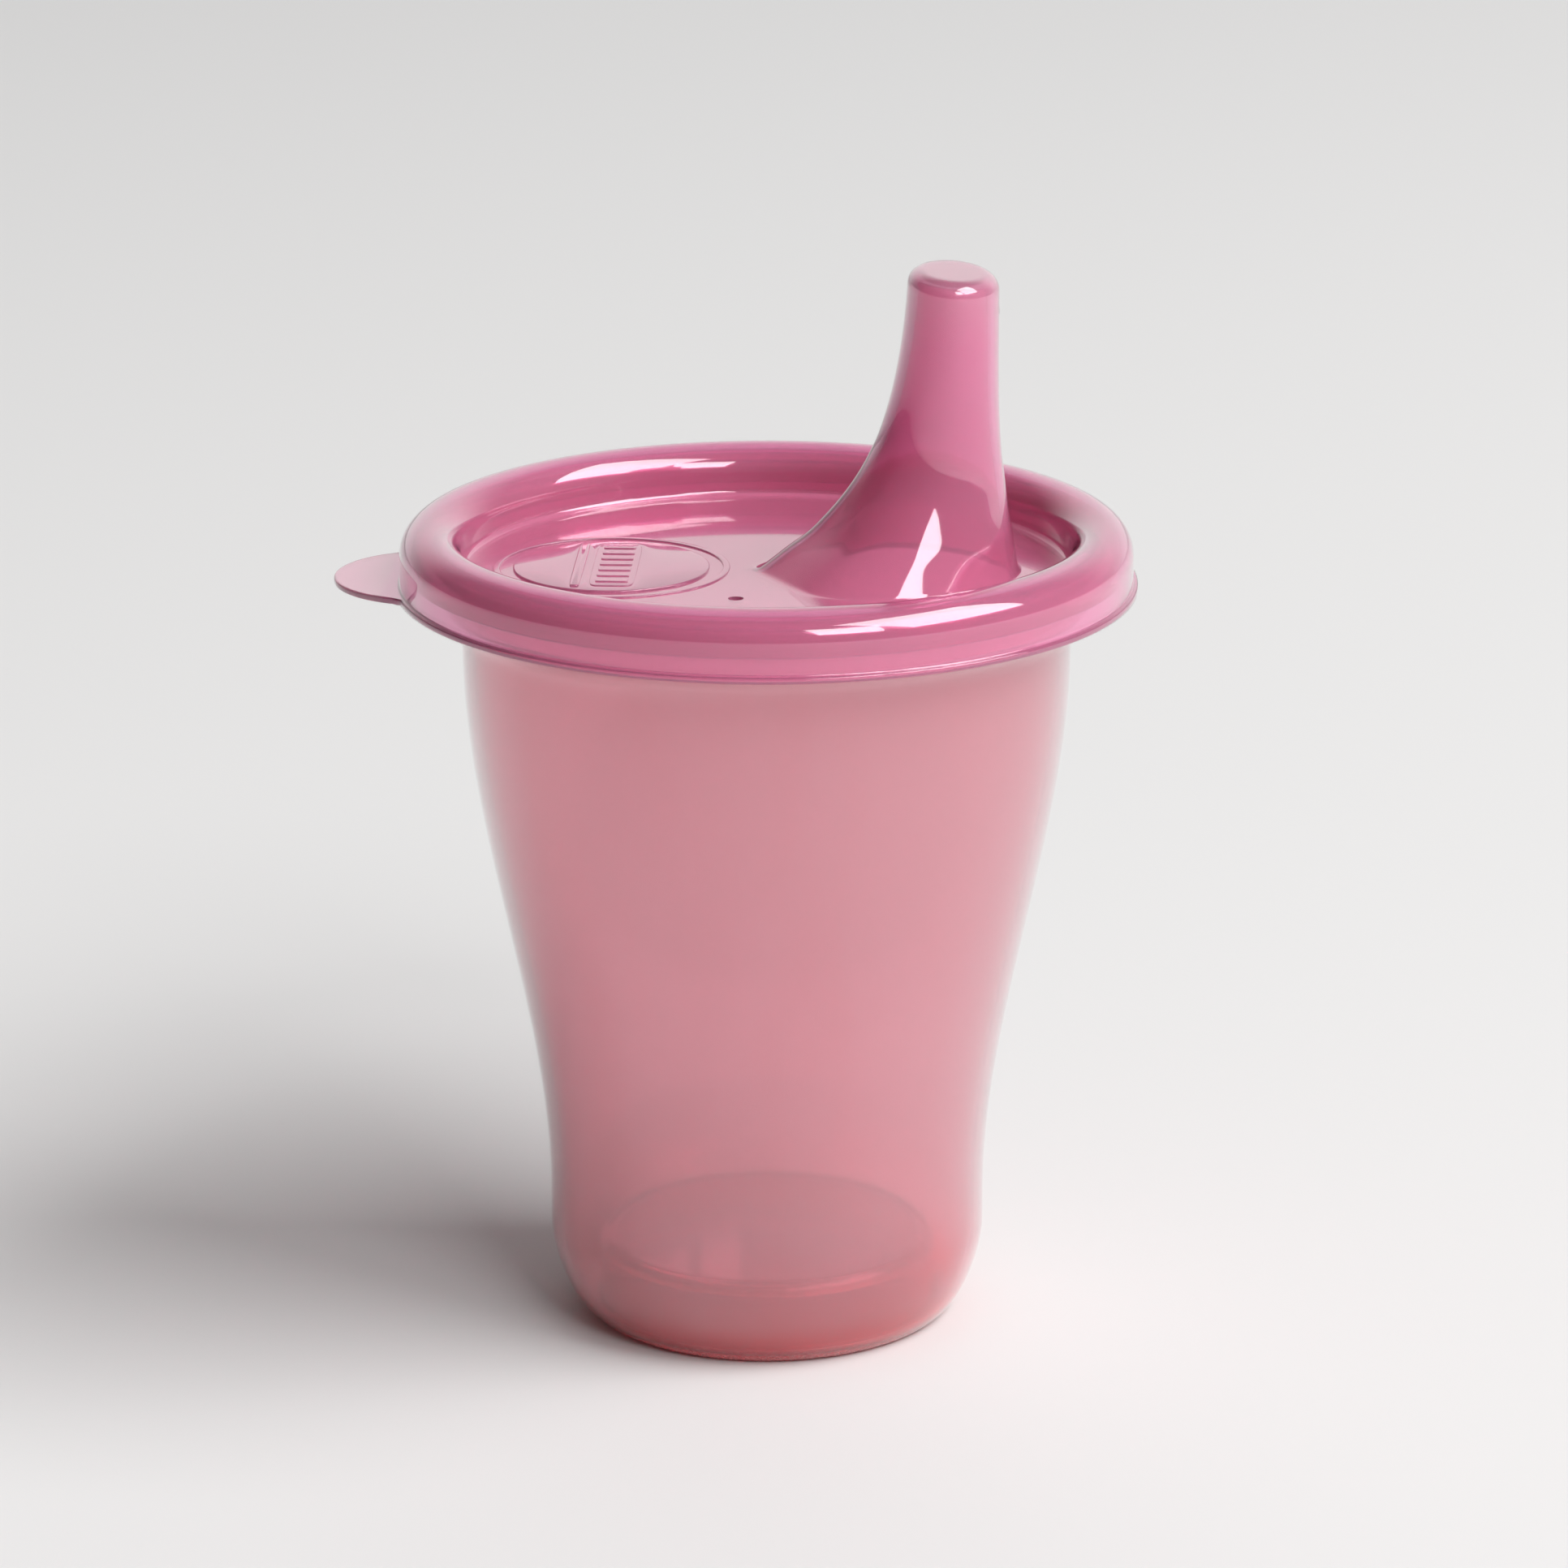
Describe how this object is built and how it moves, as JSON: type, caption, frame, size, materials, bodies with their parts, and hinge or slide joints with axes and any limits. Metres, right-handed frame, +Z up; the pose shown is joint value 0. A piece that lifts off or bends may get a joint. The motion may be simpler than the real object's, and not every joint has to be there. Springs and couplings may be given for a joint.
{
  "type": "sippy cup",
  "caption": "Toddler's bell-shaped plastic tumbler with a press-on lid that carries an upright drinking spout, a vent hole and a pull tab.",
  "frame": {"origin": "on the cup's axis, in the plane it stands on", "axes": "+Z up along the cup's axis, +X towards the spout, -X towards the pull tab"},
  "size_m": [0.0892, 0.0822, 0.1203],
  "materials": {
    "cup_plastic": "satin translucent rose polypropylene, 1.2 mm wall",
    "lid_plastic": "glossy translucent pink soft plastic, 1 mm wall",
    "tab_plastic": "the lid's plastic where it is 0.7 mm thick, so paler"
  },
  "bodies": {
    "cup": {"cup": "cup_plastic"},
    "lid": {"lid": "lid_plastic"},
    "pull_tab": {"pull_tab": "tab_plastic"}
  },
  "joints": [
    {"name": "lid_lift", "type": "slide", "parent": "cup", "child": "lid", "axis": [0, 0, 1], "range_m": [0, 0.05]},
    {"name": "tab_bend", "type": "hinge", "parent": "lid", "child": "pull_tab", "pos_m": [-0.0414, 0, 0.08475], "axis": [0, 1, 0], "range_deg": [-20, 60], "stiffness_Nm_per_rad": 0.02}
  ]
}
